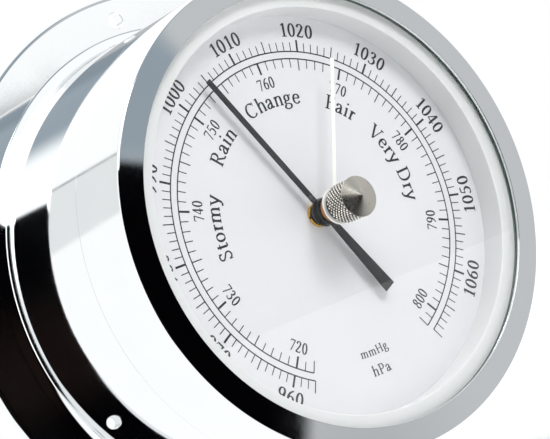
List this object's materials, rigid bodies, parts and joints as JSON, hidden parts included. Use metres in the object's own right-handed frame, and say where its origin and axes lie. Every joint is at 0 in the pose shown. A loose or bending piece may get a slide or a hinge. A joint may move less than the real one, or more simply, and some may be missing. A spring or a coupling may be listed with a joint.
{
  "type": "aneroid barometer",
  "caption": "Wall-mounted aneroid barometer in a polished flanged drum case, with a white dial, black pointer, and a set hand turned by a knurled knob through the glass.",
  "frame": {"origin": "centre of the flange's back face, which lies on the wall", "axes": "+Z to 12 o'clock on the dial, +X to 3 o'clock, dial facing -Y, wall face towards +Y"},
  "size_m": [0.1374, 0.0646, 0.1374],
  "materials": {
    "chrome": "mirror polished",
    "glass": "clear",
    "dial_white": "matt lacquer",
    "pale_lacquer": "satin",
    "grey_rubber": "matt",
    "black_lacquer": "satin",
    "white_nylon": "satin",
    "nickel": "turned",
    "bronze": "satin",
    "brass": "satin",
    "steel": "satin"
  },
  "bodies": {
    "case": {"case_shell": "chrome", "bezel_ring": "chrome", "back_cover": "chrome", "cover_screw_1": "steel", "cover_screw_2": "steel", "cover_screw_3": "steel", "dial_plate": "dial_white", "spacer_ring": "pale_lacquer", "glass_gasket": "grey_rubber", "glass": "glass", "base_plate": "steel", "movement_plate": "brass", "front_bridge": "brass", "rear_pillar_1": "steel", "rear_pillar_2": "steel", "rear_pillar_3": "steel", "rear_pillar_screw_1": "steel", "rear_pillar_screw_2": "steel", "rear_pillar_screw_3": "steel", "base_plate_screw_1": "steel", "base_plate_screw_2": "steel", "base_plate_screw_3": "steel", "frame_pillar_1": "brass", "frame_pillar_2": "brass", "frame_pillar_3": "brass", "frame_pillar_4": "brass", "frame_screw_1": "steel", "frame_screw_2": "steel", "frame_screw_3": "steel", "frame_screw_4": "steel", "bridge_pillar_1": "brass", "bridge_pillar_2": "brass", "bridge_pillar_3": "brass", "bridge_screw_1": "steel", "bridge_screw_2": "steel", "bridge_screw_3": "steel", "front_bearing": "brass", "capsule_base": "nickel", "rocker_bracket_left": "brass", "rocker_bracket_right": "brass", "hairspring": "bronze", "hairspring_stud": "brass", "knob_bush": "white_nylon"},
    "capsule": {"capsule_top": "nickel"},
    "rocker": {"rocker_shaft": "steel", "rocker_fork": "brass", "rocker_finger": "steel"},
    "sector": {"sector_gear": "brass", "sector_arbor": "steel"},
    "pointer": {"pointer_arbor": "steel", "hairspring_collet": "brass", "pointer": "black_lacquer", "pointer_hub": "black_lacquer"},
    "set_hand": {"set_knob": "nickel", "set_hand": "nickel", "set_hand_nut": "brass", "spring_washer": "bronze"},
    "adjuster": {"adjusting_screw": "brass"}
  },
  "joints": [
    {"name": "pointer_turn", "type": "hinge", "parent": "case", "child": "pointer", "pos_m": [0, 0, 0], "axis": [0, 1, 0], "range_deg": [-128, 175.4], "stiffness_Nm_per_rad": 0.0002},
    {"name": "sector_swing", "type": "hinge", "parent": "case", "child": "sector", "pos_m": [-0.0231, 0, 0], "axis": [0, 1, 0], "range_deg": [-17.6, 12.9]},
    {"name": "rocker_turn", "type": "hinge", "parent": "case", "child": "rocker", "pos_m": [0, -0.026, 0.002], "axis": [1, 0, 0], "range_deg": [-8.6, 11.8]},
    {"name": "capsule_travel", "type": "slide", "parent": "case", "child": "capsule", "axis": [0, 1, 0], "range_m": [-0.000297, 0.000408]},
    {"name": "set_hand_turn", "type": "hinge", "parent": "case", "child": "set_hand", "pos_m": [0, 0, 0], "axis": [0, 1, 0], "continuous": true},
    {"name": "adjusting_turn", "type": "hinge", "parent": "case", "child": "adjuster", "pos_m": [0, 0, 0], "axis": [0, 1, 0], "range_deg": [-180, 180]}
  ],
  "couplings": [
    {"joint": "rocker_turn", "follows": "capsule_travel", "rad_per_m": 500},
    {"joint": "sector_swing", "follows": "capsule_travel", "rad_per_m": -750},
    {"joint": "pointer_turn", "follows": "capsule_travel", "rad_per_m": 7500}
  ]
}
